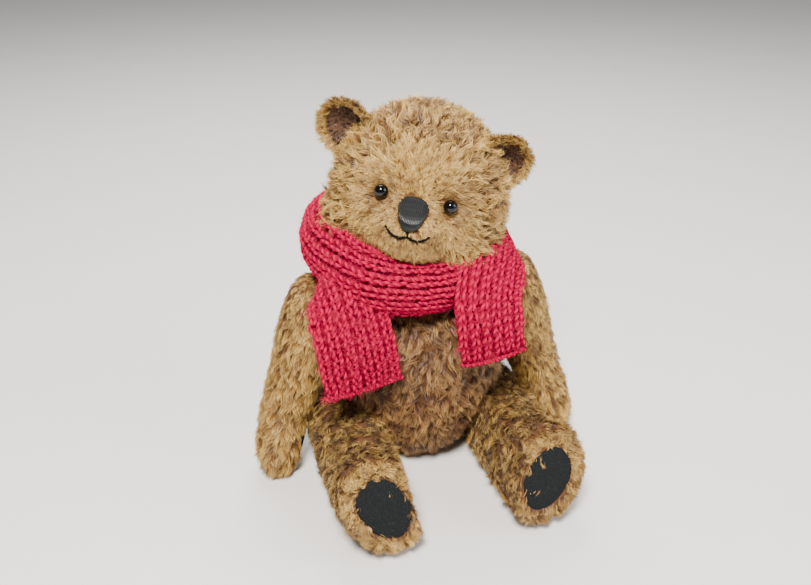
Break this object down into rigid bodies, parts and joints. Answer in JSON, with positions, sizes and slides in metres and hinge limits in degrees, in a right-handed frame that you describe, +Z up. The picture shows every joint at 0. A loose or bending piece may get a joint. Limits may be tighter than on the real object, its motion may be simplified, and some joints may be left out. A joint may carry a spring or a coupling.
{
  "type": "jointed teddy bear",
  "caption": "Small seated mohair bear with disc-jointed head, arms and legs, suede pads, stitched nose and a rib-knitted scarf.",
  "frame": {"origin": "on the floor under the middle of the seated body, at the flat of the seat", "axes": "+Z up, the bear faces -Y, its left side is +X"},
  "size_m": [0.0942, 0.0749, 0.1021],
  "materials": {
    "mohair": "matted curly mohair pile, soft sheen",
    "ear_lining_pile": "short dark brown mohair",
    "suede": "charcoal synthetic suede, matt",
    "knit_wool": "crimson rib-knitted wool, slightly fuzzy",
    "eye_glass": "black glass, highly polished",
    "nose_thread": "black satin stitch, waxed",
    "mouth_thread": "black cotton thread",
    "stuffing": "packed fibre fill",
    "card": "stiff card",
    "hardboard": "pressed hardboard",
    "washer_steel": "zinc-plated steel",
    "pin_steel": "bright steel wire"
  },
  "bodies": {
    "torso": {"body_skin": "mohair", "body_stuffing": "stuffing", "left_hip_body_disc": "hardboard", "left_hip_body_washer": "washer_steel", "left_shoulder_body_disc": "hardboard", "left_shoulder_body_washer": "washer_steel", "neck_body_disc": "hardboard", "neck_body_washer": "washer_steel", "right_hip_body_disc": "hardboard", "right_hip_body_washer": "washer_steel", "right_shoulder_body_disc": "hardboard", "right_shoulder_body_washer": "washer_steel", "scarf": "knit_wool"},
    "head": {"head_skin": "mohair", "head_stuffing": "stuffing", "left_ear_back": "mohair", "left_ear_lining": "ear_lining_pile", "left_eye": "eye_glass", "left_eye_wire": "pin_steel", "mouth_stitching": "mouth_thread", "neck_head_disc": "hardboard", "neck_head_washer": "washer_steel", "neck_pin": "pin_steel", "nose_stitching": "nose_thread", "right_ear_back": "mohair", "right_ear_lining": "ear_lining_pile", "right_eye": "eye_glass", "right_eye_wire": "pin_steel"},
    "left_arm": {"left_arm_skin": "mohair", "left_arm_stuffing": "stuffing", "left_paw_pad": "suede", "left_shoulder_arm_disc": "hardboard", "left_shoulder_arm_washer": "washer_steel", "left_shoulder_pin": "pin_steel"},
    "right_arm": {"right_arm_skin": "mohair", "right_arm_stuffing": "stuffing", "right_paw_pad": "suede", "right_shoulder_arm_disc": "hardboard", "right_shoulder_arm_washer": "washer_steel", "right_shoulder_pin": "pin_steel"},
    "left_leg": {"left_foot_card": "card", "left_foot_pad": "suede", "left_hip_leg_disc": "hardboard", "left_hip_leg_washer": "washer_steel", "left_hip_pin": "pin_steel", "left_leg_skin": "mohair", "left_leg_stuffing": "stuffing"},
    "right_leg": {"right_foot_card": "card", "right_foot_pad": "suede", "right_hip_leg_disc": "hardboard", "right_hip_leg_washer": "washer_steel", "right_hip_pin": "pin_steel", "right_leg_skin": "mohair", "right_leg_stuffing": "stuffing"}
  },
  "joints": [
    {"name": "neck_turn", "type": "hinge", "parent": "torso", "child": "head", "pos_m": [-0.004, -0.002, 0.056], "axis": [0.1916, -0.055, 0.9799], "range_deg": [-40, 35]},
    {"name": "left_shoulder_swing", "type": "hinge", "parent": "torso", "child": "left_arm", "pos_m": [0.0213, -0.002, 0.0455], "axis": [-0.9563, 0, -0.2924], "range_deg": [-75, 28]},
    {"name": "right_shoulder_swing", "type": "hinge", "parent": "torso", "child": "right_arm", "pos_m": [-0.0213, -0.002, 0.0455], "axis": [-0.9563, 0, 0.2924], "range_deg": [-75, 28]},
    {"name": "left_hip_swing", "type": "hinge", "parent": "torso", "child": "left_leg", "pos_m": [0.0143, -0.003, 0.0123], "axis": [-0.9781, 0, 0.2079], "range_deg": [-95, 12]},
    {"name": "right_hip_swing", "type": "hinge", "parent": "torso", "child": "right_leg", "pos_m": [-0.0143, -0.003, 0.0123], "axis": [-0.9781, 0, -0.2079], "range_deg": [-95, 12]}
  ]
}
